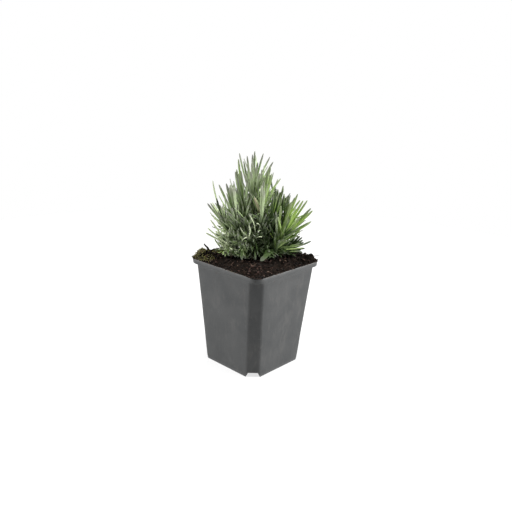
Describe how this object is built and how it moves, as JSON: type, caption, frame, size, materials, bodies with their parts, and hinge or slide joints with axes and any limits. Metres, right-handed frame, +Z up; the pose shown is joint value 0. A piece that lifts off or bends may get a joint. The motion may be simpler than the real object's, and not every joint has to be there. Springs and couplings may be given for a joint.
{
  "type": "potted lavender",
  "caption": "Young bushy lavender with narrow grey-green leaves, growing in compost in a square tapered black nursery pot.",
  "frame": {"origin": "middle of the pot's foot, on the surface that it stands on", "axes": "+Z up; the pot's flat sides face +X, -X, +Y and -Y, and the plant's best side faces between +X and -Y"},
  "size_m": [0.09, 0.09, 0.203],
  "materials": {
    "pot_plastic": "satin black injection-moulded plastic, faintly scuffed",
    "compost": "moist dark brown peat and bark compost, crumbly",
    "grey_leaves": "matt grey-green leaves with a fine down",
    "fresh_leaves": "matt fresh green leaves with grey tips"
  },
  "bodies": {
    "root": {"pot": "pot_plastic", "compost": "compost", "shoot_centre_tall": "grey_leaves", "shoot_centre_right": "grey_leaves", "shoot_centre_left": "grey_leaves", "shoot_left_upright": "grey_leaves", "shoot_left_outer": "grey_leaves", "shoot_left_low": "grey_leaves", "shoot_right_fan": "fresh_leaves", "shoot_right_back": "fresh_leaves", "shoot_right_upper": "fresh_leaves", "shoot_right_mid": "fresh_leaves", "shoot_right_low": "fresh_leaves", "shoot_front_left": "grey_leaves", "shoot_front_middle": "grey_leaves", "shoot_front_right": "grey_leaves", "shoot_middle_left": "grey_leaves", "shoot_middle_right": "grey_leaves", "shoot_left_base": "grey_leaves", "shoot_back_left": "grey_leaves", "shoot_back_middle": "grey_leaves", "shoot_back_right": "grey_leaves", "shoot_back_outer": "grey_leaves", "shoot_back_low": "grey_leaves", "shoot_back_spread": "grey_leaves"}
  },
  "joints": []
}
